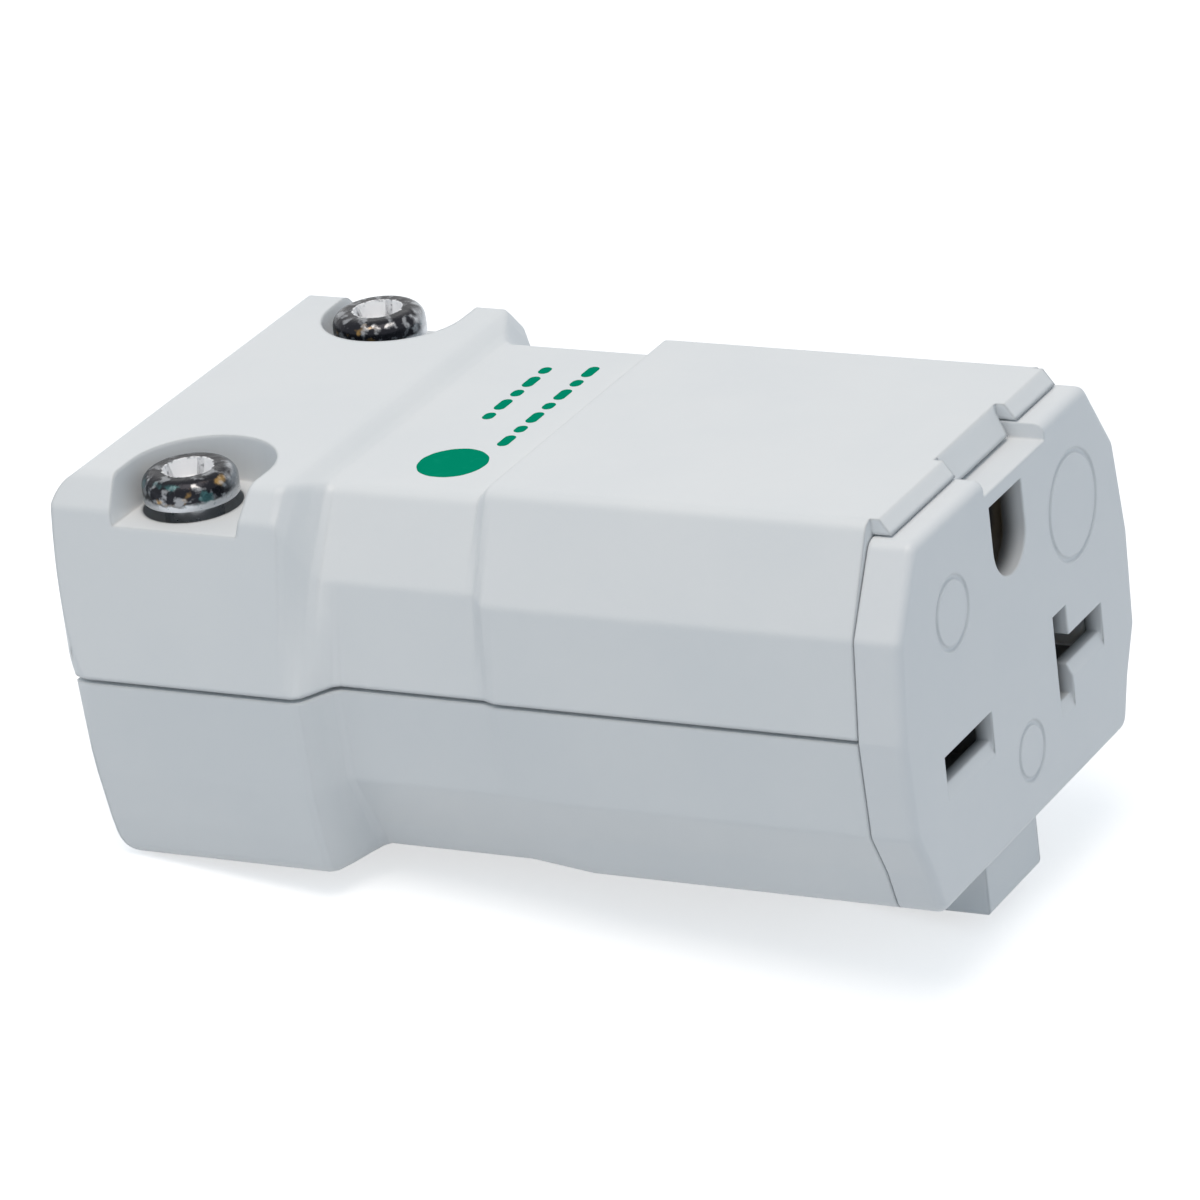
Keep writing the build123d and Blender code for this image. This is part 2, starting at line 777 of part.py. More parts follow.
def line_contact(y, is_tee):
    """A pair of leaves that grips a blade, a bridge at their back and the tail."""
    inner = blade_thickness / 2 + leaf_gap
    outer = inner + leaf_thickness
    x_front, x_back = behind(leaf_front), behind(leaf_front + leaf_length)
    half = blade_width / 2 - leaf_side_gap
    left, right = y - half, y + half
    if is_tee:
        left = upright_offset + inner
    leaves = block(x_back, x_front, left, right, up(inner), up(outer))
    leaves = leaves + block(x_back, x_front, left, right, up(-outer), up(-inner))
    if is_tee:
        tall = upright_slot_height / 2 - upright_leaf_margin
        for low, high in ((inner, tall), (-tall, -inner)):
            leaves = leaves + block(x_back, x_front, left, left + leaf_thickness, up(low), up(high))
        inside = upright_offset - inner
        leaves = leaves + block(x_back, x_front, inside - leaf_thickness, inside, up(-tall), up(tall))
        left = inside - leaf_thickness
    bridge_end = leaf_front + leaf_length + bridge_length
    leaves = leaves + block(behind(bridge_end), x_back, left, right, up(-outer), up(outer))
    riser_left, riser_right = y - tail_width / 2, y + tail_width / 2
    rise_top = up(line_pad_top)
    leaves = leaves + block(behind(bridge_end), x_back, riser_left, riser_right, up(-outer), rise_top)
    return leaves + terminal_tail(y, line_pad_top, leaf_front + leaf_length, terminal_depth)


def ground_contact():
    """The slit sleeve that takes the ground pin, and its tail."""
    bore = pin_diameter / 2 + pin_fit
    end = sleeve_front + sleeve_length
    sleeve = along(0, up(pin_rise), bore + sleeve_wall, sleeve_front, end)
    tail = terminal_tail(0, ground_pad_top, end - tail_lap, ground_terminal_depth)
    solid = sleeve + tail - along(0, up(pin_rise), bore, sleeve_front - spare, end)
    return solid - top_slit(sleeve_front, end)


def top_slit(depth_near, depth_far):
    """The cut along the top of the ground sleeve and of its spring."""
    half = sleeve_slit / 2
    x_low, x_high = behind(depth_far + spare), behind(depth_near - spare)
    return block(x_low, x_high, -half, half, up(pin_rise), up(pin_rise + pin_diameter))


def blade_spring(y, half_width):
    """A steel clip that presses a pair of leaves together from outside."""
    inner = blade_thickness / 2 + leaf_gap + leaf_thickness + spring_gap
    outer = inner + spring_thickness
    x_front, x_back = behind(spring_front), behind(spring_front + spring_length)
    side = y + half_width + spring_gap
    outside = block(x_back, x_front, y, side + spring_thickness, up(-outer), up(outer))
    return outside - block(x_back - spare, x_front + spare, y - spare, side, up(-inner), up(inner))


def sleeve_spring():
    """A split steel band round the ground sleeve."""
    inner = pin_diameter / 2 + pin_fit + sleeve_wall + spring_gap
    end = spring_front + spring_length
    band = along(0, up(pin_rise), inner + band_thickness, spring_front, end)
    band = band - along(0, up(pin_rise), inner, spring_front - spare, end + spare)
    return band - top_slit(spring_front, end)


# Terminals

def clamp_plate(depth, y, pad_top):
    """The loose plate that presses a wire on its terminal pad."""
    half = clamp_plate_side / 2
    x = behind(depth)
    low = up(pad_top) + clamp_rest_gap
    plate = block(x - half, x + half, y - half, y + half, low, low + clamp_plate_thickness)
    plate = chamfer(plate.edges().filter_by(Axis.Z), clamp_plate_corner)
    hole_top = low + clamp_plate_thickness + spare
    return plate - upright(x, y, terminal_thread + thread_clearance, low - spare, hole_top)


def terminal_screw(depth, y, pad_top):
    """A binding head screw through a clamp plate into its pad."""
    x = behind(depth)
    seat = up(pad_top) + clamp_rest_gap + clamp_plate_thickness + terminal_head_gap
    head = upright(x, y, terminal_head_radius, seat, seat + terminal_head_height)
    top = seat + terminal_head_height
    head = fillet(head.edges().sort_by(Axis.Z)[-1:], terminal_head_round)
    reach, half = terminal_head_radius + spare, terminal_slot_width / 2
    slot = block(x - reach, x + reach, y - half, y + half, top - terminal_slot_depth, top + spare)
    shank = upright(x, y, terminal_thread, seat - terminal_shank, seat)
    shank = chamfer(shank.edges().sort_by(Axis.Z)[0:1], terminal_tip)
    return head - slot + shank


near_line = (terminal_depth, -blade_offset, line_pad_top)
far_line = (terminal_depth, blade_offset, line_pad_top)
ground = (ground_terminal_depth, 0, ground_pad_top)

nodes = {
    "upper_cover": upper_cover(),
    "lower_shell": lower_shell(),
    "face_block": face_block(),
    "contact_retainer": contact_retainer(),
    "near_line_contact": line_contact(-blade_offset, False),
    "far_line_contact": line_contact(blade_offset, True),
    "ground_contact": ground_contact(),
    "near_line_spring": mirrored(blade_spring(blade_offset, blade_width / 2)),
    "far_line_spring": blade_spring(blade_offset, blade_width / 2),
    "ground_sleeve_spring": sleeve_spring(),
    "near_line_clamp_plate": clamp_plate(*near_line),
    "far_line_clamp_plate": clamp_plate(*far_line),
    "ground_clamp_plate": clamp_plate(*ground),
    "near_line_terminal_screw": terminal_screw(*near_line),
    "far_line_terminal_screw": terminal_screw(*far_line),
    "ground_terminal_screw": terminal_screw(*ground),
    "near_assembly_screw": assembly_screw(-1, near_head_rise),
    "far_assembly_screw": assembly_screw(1, far_head_rise),
    "near_retaining_ring": retaining_ring(-1, near_head_rise),
    "far_retaining_ring": retaining_ring(1, far_head_rise),
    "near_square_nut": square_nut(-1),
    "far_square_nut": square_nut(1),
    "upper_cord_jaw": cord_jaw(True),
    "lower_cord_jaw": cord_jaw(False),
}

os.makedirs("parts", exist_ok=True)
for name, shape in nodes.items():
    export_step(shape, f"parts/{name}.step")
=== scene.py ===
"""A white three-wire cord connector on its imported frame: mouldings, screws, print, metal and light."""
import json
import logging
import math
from dataclasses import dataclass, field
from enum import Enum
from typing import Any, Callable, Mapping, Optional, Sequence, Union

import bmesh
import bpy
from mathutils import Matrix, Vector

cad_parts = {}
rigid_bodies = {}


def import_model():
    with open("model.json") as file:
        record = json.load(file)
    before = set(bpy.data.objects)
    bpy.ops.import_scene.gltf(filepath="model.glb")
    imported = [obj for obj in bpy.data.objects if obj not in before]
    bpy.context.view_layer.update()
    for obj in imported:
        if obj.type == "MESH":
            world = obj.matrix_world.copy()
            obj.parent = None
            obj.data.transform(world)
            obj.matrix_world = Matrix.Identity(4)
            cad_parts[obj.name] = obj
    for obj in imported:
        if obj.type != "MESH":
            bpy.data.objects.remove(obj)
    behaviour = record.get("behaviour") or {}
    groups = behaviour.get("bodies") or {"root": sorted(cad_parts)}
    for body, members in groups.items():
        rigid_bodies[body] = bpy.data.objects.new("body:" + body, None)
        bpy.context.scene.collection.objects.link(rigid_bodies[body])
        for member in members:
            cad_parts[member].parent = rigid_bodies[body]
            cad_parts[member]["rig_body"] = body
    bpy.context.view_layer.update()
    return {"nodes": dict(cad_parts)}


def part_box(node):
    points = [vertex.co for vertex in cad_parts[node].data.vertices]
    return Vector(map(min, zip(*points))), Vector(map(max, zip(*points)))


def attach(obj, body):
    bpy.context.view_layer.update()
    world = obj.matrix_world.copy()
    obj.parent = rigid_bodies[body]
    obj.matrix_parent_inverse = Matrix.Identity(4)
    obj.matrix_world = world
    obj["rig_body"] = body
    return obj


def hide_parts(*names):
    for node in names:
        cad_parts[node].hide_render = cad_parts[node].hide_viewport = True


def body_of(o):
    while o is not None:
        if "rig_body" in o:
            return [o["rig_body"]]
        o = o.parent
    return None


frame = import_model()

MM = 0.001
SOFT_SAMPLES = 6
MEAN_NOISE = 0.5
log = logging.getLogger("cord_connector")

Colour = tuple[float, float, float]
Band = tuple[float, float]
Ring = Callable[[float], tuple[float, float]]


class Side(Enum):
    """The two long sides of the connector, as signs along Y."""

    NEAR = -1
    FAR = 1


class Body(Enum):
    """The frame's body that new pieces ride on by name."""

    COVER = "cover"


# Shader maths


class Signal:
    """A number that varies over a surface. Arithmetic on it adds Math nodes to its tree."""

    def __init__(self, tree: "ShaderTree", socket: bpy.types.NodeSocket) -> None:
        """Wrap an output socket.

        Args:
            tree: The material's tree.
            socket: The output socket to read.
        """
        self.tree = tree
        self.socket = socket

    def __add__(self, other: "Operand") -> "Signal":
        """Add a number or another signal."""
        return self.tree.math("ADD", self, other)

    __radd__ = __add__

    def __sub__(self, other: "Operand") -> "Signal":
        """Subtract a number or another signal."""
        return self.tree.math("SUBTRACT", self, other)

    def __rsub__(self, other: "Operand") -> "Signal":
        """Subtract this signal from a number."""
        return self.tree.math("SUBTRACT", other, self)

    def __mul__(self, other: "Operand") -> "Signal":
        """Multiply by a number or another signal."""
        return self.tree.math("MULTIPLY", self, other)

    __rmul__ = __mul__

    def between(self, low: float, high: float) -> "Signal":
        """Rise smoothly from 0 at one value to 1 at another.

        Args:
            low: The value where the result is 0.
            high: The value where the result is 1.

        Returns:
            The smoothed signal, clamped to 0 and 1.
        """
        settings = {"interpolation_type": "SMOOTHSTEP"}
        inputs = {"Value": self, "From Min": low, "From Max": high}
        node = self.tree.node("ShaderNodeMapRange", settings, inputs)
        return Signal(self.tree, node.outputs["Result"])


Operand = Union[Signal, float]


class ShaderTree:
    """One material's node tree, with the few kinds of node that the finishes use."""

    def __init__(self, name: str) -> None:
        """Start an empty material.

        Args:
            name: The material's name.
        """
        self.material = bpy.data.materials.new(name)
        self.material.use_nodes = True
        self.links = self.material.node_tree.links
        self.nodes = self.material.node_tree.nodes
        self.nodes.clear()
        self.coordinates = self.node("ShaderNodeTexCoord").outputs["Object"]

    def node(
        self,
        kind: str,
        settings: Optional[Mapping[str, Any]] = None,
        inputs: Optional[Mapping[Union[str, int], Any]] = None,
    ) -> bpy.types.Node:
        """Add a node.

        Args:
            kind: The node's type name.
            settings: Properties to set first.
            inputs: Values, sockets or signals for the node's input sockets.

        Returns:
            The new node.
        """
        node = self.nodes.new(kind)
        for name, value in (settings or {}).items():
            setattr(node, name, value)
        for name, value in (inputs or {}).items():
            self._feed(node.inputs[name], value)
        return node

    def _feed(self, socket: bpy.types.NodeSocket, value: Any) -> None:
        """Link or set one input socket.

        Args:
            socket: The input socket.
            value: A signal, an output socket, a number or a tuple.
        """
        if isinstance(value, Signal):
            self.links.new(value.socket, socket)
        elif isinstance(value, bpy.types.NodeSocket):
            self.links.new(value, socket)
        elif isinstance(value, tuple) and socket.type == "RGBA":
            socket.default_value = (*value, 1.0)
        else:
            socket.default_value = value

    def math(self, operation: str, first: Operand, second: Operand) -> Signal:
        """Join two operands in a Math node."""
        node = self.node("ShaderNodeMath", {"operation": operation}, {0: first, 1: second})
        return Signal(self, node.outputs[0])

    def stretched(self, size_mm: float, stretch: Colour) -> bpy.types.NodeSocket:
        """Coordinates in which a pattern's features have a given size.

        Args:
            size_mm: Size of a feature in millimetres.
            stretch: How many times finer the pattern is along each axis.

        Returns:
            The coordinates' socket.
        """
        scale = tuple(times / (size_mm * MM) for times in stretch)
        inputs = {0: self.coordinates, 1: scale}
        return self.node("ShaderNodeVectorMath", {"operation": "MULTIPLY"}, inputs).outputs[0]

    def noise(self, size_mm: float, detail: float, stretch: Colour = (1.0, 1.0, 1.0)) -> Signal:
        """Cloudy noise from 0 to 1.

        Args:
            size_mm: Size of a cloud in millimetres.
            detail: How many finer layers it has.
            stretch: How many times finer it is along each axis.

        Returns:
            The noise.
        """
        inputs = {"Vector": self.stretched(size_mm, stretch), "Scale": 1.0, "Detail": detail}
        return Signal(self, self.node("ShaderNodeTexNoise", None, inputs).outputs[0])

    def moved_from(self, point: Vector) -> bpy.types.NodeSocket:
        """Coordinates counted from a point, in metres."""
        inputs = {0: self.coordinates, 1: point}
        return self.node("ShaderNodeVectorMath", {"operation": "SUBTRACT"}, inputs).outputs[0]

    def radius_from(self, centre: Vector) -> Signal:
        """Distance in millimetres from an upright axis.

        Args:
            centre: A point on the axis, in metres.

        Returns:
            The distance.
        """
        moved = self.moved_from(centre)
        flat_inputs = {0: moved, 1: (1 / MM, 1 / MM, 0.0)}
        flat = self.node("ShaderNodeVectorMath", {"operation": "MULTIPLY"}, flat_inputs)
        length = self.node("ShaderNodeVectorMath", {"operation": "LENGTH"}, {0: flat.outputs[0]})
        return Signal(self, length.outputs["Value"])

    def distance_past(self, point: Vector, direction: Vector) -> Signal:
        """Distance in millimetres past a point, measured along a direction.

        Args:
            point: The point, in metres.
            direction: The direction, of unit length.

        Returns:
            The distance.
        """
        inputs = {0: self.moved_from(point), 1: direction / MM}
        along = self.node("ShaderNodeVectorMath", {"operation": "DOT_PRODUCT"}, inputs)
        return Signal(self, along.outputs["Value"])

    def mix(self, factor: Operand, first: Any, second: Any) -> bpy.types.NodeSocket:
        """Blend two colours.

        Args:
            factor: 0 gives the first colour, 1 the second.
            first: A colour or a socket.
            second: A colour or a socket.

        Returns:
            The blended colour's socket.
        """
        node = self.node("ShaderNodeMix", {"data_type": "RGBA"})
        sockets = {socket.identifier: socket for socket in node.inputs}
        for name, value in (("Factor_Float", factor), ("A_Color", first), ("B_Color", second)):
            self._feed(sockets[name], value)
        outputs = {socket.identifier: socket for socket in node.outputs}
        return outputs["Result_Color"]

    def bump(self, height_mm: Signal, soft_mm: float = 0.0) -> bpy.types.NodeSocket:
        """The normal of a surface raised by a height in millimetres.

        Args:
            height_mm: The height.
            soft_mm: Radius to which edges look rounded; 0 leaves them as they are.

        Returns:
            The normal's socket.
        """
        inputs: dict[Union[str, int], Any] = {"Height": height_mm, "Distance": MM, "Strength": 1.0}
        if soft_mm > 0.0:
            soft = self.node("ShaderNodeBevel", {"samples": SOFT_SAMPLES}, {"Radius": soft_mm * MM})
            inputs["Normal"] = soft.outputs[0]
        return self.node("ShaderNodeBump", None, inputs).outputs["Normal"]

    def surface(self, **inputs: Any) -> bpy.types.Material:
        """Finish the material with its main shader.

        Args:
            inputs: Values for the shader's sockets, with underscores for spaces.

        Returns:
            The finished material.
        """
        named = {name.replace("_", " "): value for name, value in inputs.items()}
        shader = self.node("ShaderNodeBsdfPrincipled", None, named)
        self.node("ShaderNodeOutputMaterial", None, {"Surface": shader.outputs[0]})
        return self.material


# Finishes


@dataclass(frozen=True)
class MouldedNylon:
    """Satin moulded nylon: faint clouds in the colour, a fine grain and slightly wavy faces."""

    name: str
    slot: str
    colour: Colour
    cloud_colour: Colour
    roughness: float = 0.4
    cloud_mm: float = 11.0
    grain_mm: float = 0.22
    grain_height_mm: float = 0.0025
    wave_mm: float = 4.5
    wave_height_mm: float = 0.02
    soft_mm: float = 0.42
    fleck_mm: float = 0.9
    fleck_share: float = 0.2
    fleck_roughness: float = 0.08
    cloud_band: Band = (0.35, 0.7)
    ior: float = 1.5
    cloud_detail: float = 4.0
    fleck_detail: float = 3.0
    grain_detail: float = 2.0
    wave_detail: float = 1.0

    def build(self) -> bpy.types.Material:
        """Make the material."""
        tree = ShaderTree(self.name)
        cloud = tree.noise(self.cloud_mm, self.cloud_detail).between(*self.cloud_band)
        fleck = tree.noise(self.fleck_mm, self.fleck_detail)
        grain = tree.noise(self.grain_mm, self.grain_detail)
        wave = tree.noise(self.wave_mm, self.wave_detail)
        height = grain * self.grain_height_mm + wave * self.wave_height_mm
        clouded = cloud * (1.0 - self.fleck_share) + fleck * self.fleck_share
        colour = tree.mix(clouded, self.colour, self.cloud_colour)
        smoothest = self.roughness - MEAN_NOISE * self.fleck_roughness
        return tree.surface(
            Base_Color=self.shaded(tree, colour),
            Roughness=smoothest + fleck * self.fleck_roughness,
            Normal=tree.bump(height, self.soft_mm),
            IOR=self.ior,
        )

    def shaded(self, tree: ShaderTree, colour: bpy.types.NodeSocket) -> bpy.types.NodeSocket:
        """The colour as it is; a moulding with painted shade in its recesses changes it."""
        return colour


@dataclass(frozen=True)
class FaceNylon(MouldedNylon):
    """The mating face's nylon, with painted shade on its slot walls, darker with depth behind the face."""

    face: float = 31.75 * MM
    half_width: float = 13.2 * MM
    low: float = 8.1 * MM
    high: float = 30.3 * MM
    # painted shade: the colour that the slot walls take deep behind the face
    painted_shade_colour: Colour = (0.05, 0.052, 0.058)
    blur_mm: float = 0.3
    depth_mm: Band = (0.3, 1.7)
    painted_shade_share: float = 0.95

    def shaded(self, tree: ShaderTree, colour: bpy.types.NodeSocket) -> bpy.types.NodeSocket:
        """Paint shade on the slot walls, darker with depth behind the face.

        Args:
            tree: The material's tree.
            colour: The plain colour.

        Returns:
            The shaded colour.
        """
        across = Vector((0.0, 1.0, 0.0))
        upward = Vector((0.0, 0.0, 1.0))
        face_point = Vector((self.face, 0.0, 0.0))
        # painted shade: a mask that rises with depth behind the face, kept inside the face's bounds
        dark = tree.distance_past(face_point, Vector((-1.0, 0.0, 0.0))).between(*self.depth_mm)
        bounds = (
            (-self.half_width * across, across),
            (self.half_width * across, -across),
            (self.low * upward, upward),
            (self.high * upward, -upward),
        )
        for point, inward in bounds:
            dark = dark * tree.distance_past(point, inward).between(0.0, self.blur_mm)
        return tree.mix(dark * self.painted_shade_share, colour, self.painted_shade_colour)


@dataclass(frozen=True)
class StampedMetal:
    """Stamped and plated strip: drawn lines along one axis and a blotchy film on the colour."""

    name: str
    slot: str
    colour: Colour
    film_colour: Colour
    roughness: float = 0.3
    film_mm: float = 2.4
    film_share: float = 0.7
    line_mm: float = 1.6
    line_stretch: Colour = (1.0, 26.0, 26.0)
    line_height_mm: float = 0.0012
    film_band: Band = (0.42, 0.72)
    film_roughness: float = 0.16
    line_roughness: float = 0.08
    film_detail: float = 5.0
    line_detail: float = 3.0

    def build(self) -> bpy.types.Material:
        """Make the material."""
        tree = ShaderTree(self.name)
        film = tree.noise(self.film_mm, self.film_detail).between(*self.film_band)
        line = tree.noise(self.line_mm, self.line_detail, self.line_stretch)
        return tree.surface(
            Base_Color=tree.mix(film * self.film_share, self.colour, self.film_colour),
            Metallic=1.0,
            Roughness=self.roughness + film * self.film_roughness + line * self.line_roughness,
            Normal=tree.bump(line * self.line_height_mm),
        )


@dataclass(frozen=True)
class PlatedHead:
    """A plated screw: a painted white reflection in the dish, a painted dark lumpy reflection with painted
    warm and teal reflections, and a silver lower rim.
    """

    name: str
    slot: str
    centre: Vector
    top: float
    # painted reflection: the white sky seen in the dish, as a near-white colour
    dish_reflection_white: Colour = (0.93, 0.93, 0.94)
    silver: Colour = (0.5, 0.52, 0.55)
    # painted reflection: the dark of the surroundings on the head's top
    dark: Colour = (0.022, 0.023, 0.028)
    # painted reflections: warm and teal tints near the head's outer edge
    warm: Colour = (0.5, 0.31, 0.1)
    teal: Colour = (0.07, 0.19, 0.2)
    lump_mm: float = 0.8
    tint_mm: float = 1.7
    scratch_mm: float = 0.35
    head_mm: float = 2.0
    dish_mm: Band = (1.72, 1.88)
    dish_waver_mm: float = 0.5
    rim_mm: Band = (0.35, 0.65)
    rim_waver_mm: float = 0.8
    # painted highlight: the dark reflection thins toward the lit side, leaving silver
    glance_mm: Band = (2.2, 3.1)
    glance_waver_mm: float = 2.2
    glance_share: float = 0.75
    reflection_edge_mm: Band = (2.75, 3.15)
    reflection_edge_waver_mm: float = 1.2
    warm_band: Band = (0.6, 0.7)
    teal_band: Band = (0.42, 0.34)
    silver_band: Band = (0.52, 0.66)
    # band and share of the painted teal reflection patches on the silver
    teal_patch_band: Band = (0.6, 0.7)
    silver_share: float = 0.5
    tint_share: float = 0.6
    teal_patch_share: float = 0.4
    dish_dulling: float = 0.8
    roughness: float = 0.2
    scratch_roughness: float = 0.12
    dish_roughness: float = 0.15
    lump_height_mm: float = 0.07
    scratch_height_mm: float = 0.002
    lump_detail: float = 3.0
    tint_detail: float = 3.0
    scratch_detail: float = 4.0
    lit_side: Vector = field(default_factory=lambda: Vector((0.867, 0.499, 0.0)))

    def build(self) -> bpy.types.Material:
        """Make the material."""
        tree = ShaderTree(self.name)
        lump = tree.noise(self.lump_mm, self.lump_detail)
        tint = tree.noise(self.tint_mm, self.tint_detail)
        scratch = tree.noise(self.scratch_mm, self.scratch_detail)
        lumpy = lump - MEAN_NOISE
        seat = Vector((0.0, 0.0, self.top - self.head_mm * MM))
        height = tree.distance_past(seat, Vector((0.0, 0.0, 1.0))) + lumpy * self.rim_waver_mm
        radius = tree.radius_from(self.centre)
        wavering = radius + (scratch - MEAN_NOISE) * self.dish_waver_mm
        # painted reflection: the dish's mask, where the white colour goes and the metal is dulled
        dish = 1.0 - wavering.between(*self.dish_mm)
        rim = 1.0 - height.between(*self.rim_mm)
        # painted highlight: silver toward the lit side, where the dark reflection thins
        glance = tree.distance_past(self.centre, self.lit_side) + lumpy * self.glance_waver_mm
        # film marks where the painted dark reflection goes: off the dish, above the lower rim, thinner
        # toward the lit side
        film = (1.0 - dish) * (1.0 - rim) * (1.0 - glance.between(*self.glance_mm) * self.glance_share)
        # painted warm and teal reflections, kept near the head's outer edge
        reflection_edge = (radius + lumpy * self.reflection_edge_waver_mm).between(*self.reflection_edge_mm)
        warm = tint.between(*self.warm_band) * reflection_edge * self.tint_share
        teal = tint.between(*self.teal_band) * reflection_edge * self.tint_share
        # painted reflection: dark with lumpy silver patches, then warm and teal reflections near the edge
        painted_reflection = tree.mix(lump.between(*self.silver_band) * self.silver_share, self.dark, self.silver)
        painted_reflection = tree.mix(teal, tree.mix(warm, painted_reflection, self.warm), self.teal)
        # painted teal reflection in patches on the plain silver
        teal_reflection_patches = scratch.between(*self.teal_patch_band) * self.teal_patch_share
        plain = tree.mix(teal_reflection_patches, self.silver, self.teal)
        return tree.surface(
            Base_Color=tree.mix(dish, tree.mix(film, plain, painted_reflection), self.dish_reflection_white),
            Metallic=1.0 - dish * self.dish_dulling,
            Roughness=self.roughness + scratch * self.scratch_roughness + dish * self.dish_roughness,
            Normal=tree.bump(lump * self.lump_height_mm * film + scratch * self.scratch_height_mm),
        )


@dataclass(frozen=True)
class PrintInk:
    """Pad-printed ink: an even teal green, thinner in places, with the nylon's grain showing through."""

    name: str = "teal_ink"
    slot: str = "green_screw"
    colour: Colour = (0.0005, 0.275, 0.155)
    thin_colour: Colour = (0.004, 0.31, 0.18)
    thin_mm: float = 0.5
    thin_band: Band = (0.5, 0.75)
    thin_share: float = 0.6
    roughness: float = 0.42
    thin_roughness: float = 0.1
    grain_mm: float = 0.22
    grain_height_mm: float = 0.0025
    thin_detail: float = 4.0
    grain_detail: float = 2.0

    def build(self) -> bpy.types.Material:
        """Make the material."""
        tree = ShaderTree(self.name)
        thin = tree.noise(self.thin_mm, self.thin_detail).between(*self.thin_band)
        return tree.surface(
            Base_Color=tree.mix(thin * self.thin_share, self.colour, self.thin_colour),
            Roughness=self.roughness + thin * self.thin_roughness,
            Normal=tree.bump(tree.noise(self.grain_mm, self.grain_detail) * self.grain_height_mm),
            Specular_IOR_Level=0.0,
        )


@dataclass(frozen=True)
class StageFinish:
    """A floor that is white to the camera where nothing shades it, and keeps the object's soft shadow."""

    name: str
    colour: Colour = (0.7, 0.71, 0.72)
    lift: float = 0.62

    def build(self) -> bpy.types.Material:
        """Make the material."""
        tree = ShaderTree(self.name)
        path = tree.node("ShaderNodeLightPath")
        seen = Signal(tree, path.outputs["Is Camera Ray"]) + Signal(tree, path.outputs["Is Glossy Ray"])
        seen = seen + Signal(tree, path.outputs["Is Transmission Ray"])
        diffuse = tree.node("ShaderNodeBsdfDiffuse", None, {"Color": self.colour})
        glow = tree.node("ShaderNodeEmission", None, {"Color": (1.0, 1.0, 1.0), "Strength": self.lift})
        both = tree.node("ShaderNodeAddShader", None, {0: diffuse.outputs[0], 1: glow.outputs[0]})
        choice = {0: seen, 1: diffuse.outputs[0], 2: both.outputs[0]}
        mixed = tree.node("ShaderNodeMixShader", None, choice)
        tree.node("ShaderNodeOutputMaterial", None, {"Surface": mixed.outputs[0]})
        return tree.material


Finish = Union[MouldedNylon, StampedMetal, PlatedHead, PrintInk]

WHITE_NYLON = MouldedNylon("white_nylon", "white_nylon", (0.80, 0.82, 0.83), (0.775, 0.80, 0.815))
# the face's nylon carries painted shade on its slot walls
FACE_NYLON = FaceNylon("face_nylon", "white_face", (0.79, 0.81, 0.825), (0.765, 0.79, 0.81), soft_mm=0.25)
IVORY = MouldedNylon(
    name="ivory_insulator",
    slot="ivory_insulator",
    colour=(0.75, 0.71, 0.6),
    cloud_colour=(0.66, 0.61, 0.5),
    roughness=0.5,
    cloud_mm=5.0,
    grain_mm=0.3,
    grain_height_mm=0.006,
)
JAW_NYLON = MouldedNylon(
    name="grey_jaw",
    slot="grey_jaw",
    colour=(0.2, 0.205, 0.215),
    cloud_colour=(0.15, 0.155, 0.165),
    roughness=0.5,
    cloud_mm=4.0,
    grain_mm=0.3,
    grain_height_mm=0.006,
)
BRASS = StampedMetal("contact_brass", "contact_brass", (0.78, 0.56, 0.23), (0.44, 0.25, 0.08))
SPRING_STEEL = StampedMetal("spring_steel", "spring_steel", (0.42, 0.43, 0.46), (0.2, 0.17, 0.2), 0.26)
ZINC = StampedMetal("zinc_plate", "plated_steel", (0.62, 0.63, 0.63), (0.5, 0.47, 0.36), 0.34)
SCREW_BRASS = StampedMetal("screw_brass", "screw_brass", (0.74, 0.53, 0.22), (0.42, 0.26, 0.1), 0.24)
GREEN_DYE = StampedMetal("green_dye", "green_screw", (0.03, 0.3, 0.12), (0.02, 0.14, 0.07), 0.34)


class Paintbox:
    """Makes each finish's material once, and puts it on pieces."""

    def __init__(self) -> None:
        """Start with no materials."""
        self.made: dict[str, bpy.types.Material] = {}

    def dress(self, piece: bpy.types.Object, finish: Finish) -> None:
        """Put a finish on a piece.

        Args:
            piece: The piece.
            finish: Its finish.
        """
        if finish.name not in self.made:
            self.made[finish.name] = finish.build()
        piece.data.materials.clear()
        piece.data.materials.append(self.made[finish.name])


# Meshes


def placed(name: str, mesh: bpy.types.Mesh) -> bpy.types.Object:
    """Put a mesh into the scene.

    Args:
        name: The piece's name.
        mesh: Its mesh, in the row frame.

    Returns:
        The new object.
    """
    piece = bpy.data.objects.new(name, mesh)
    bpy.context.scene.collection.objects.link(piece)
    return piece


def turned(target: bmesh.types.BMesh, centre: Vector, rings: Sequence[Ring], sides: int) -> None:
    """Add a closed turned form, given from its top down.

    Args:
        target: The mesh that takes the form.
        centre: A point on the upright axis.
        rings: For each ring, radius and height at an angle, from the centre point.
        sides: Points round each ring.
    """
    angles = [2 * math.pi * step / sides for step in range(sides)]
    rows = []
    for ring in rings:
        row = []
        for angle in angles:
            radius, height = ring(angle)
            offset = Vector((radius * math.cos(angle), radius * math.sin(angle), height))
            row.append(target.verts.new(centre + offset))
        rows.append(row)
    for upper, lower in zip(rows, rows[1:]):
        for index in range(sides):
            after = (index + 1) % sides
            target.faces.new((upper[index], lower[index], lower[after], upper[after]))
    target.faces.new(rows[0])
    target.faces.new(list(reversed(rows[-1])))


def fixed(radius: float, height: float) -> Ring:
    """A round ring of one radius at one height."""
    return lambda angle: (radius, height)


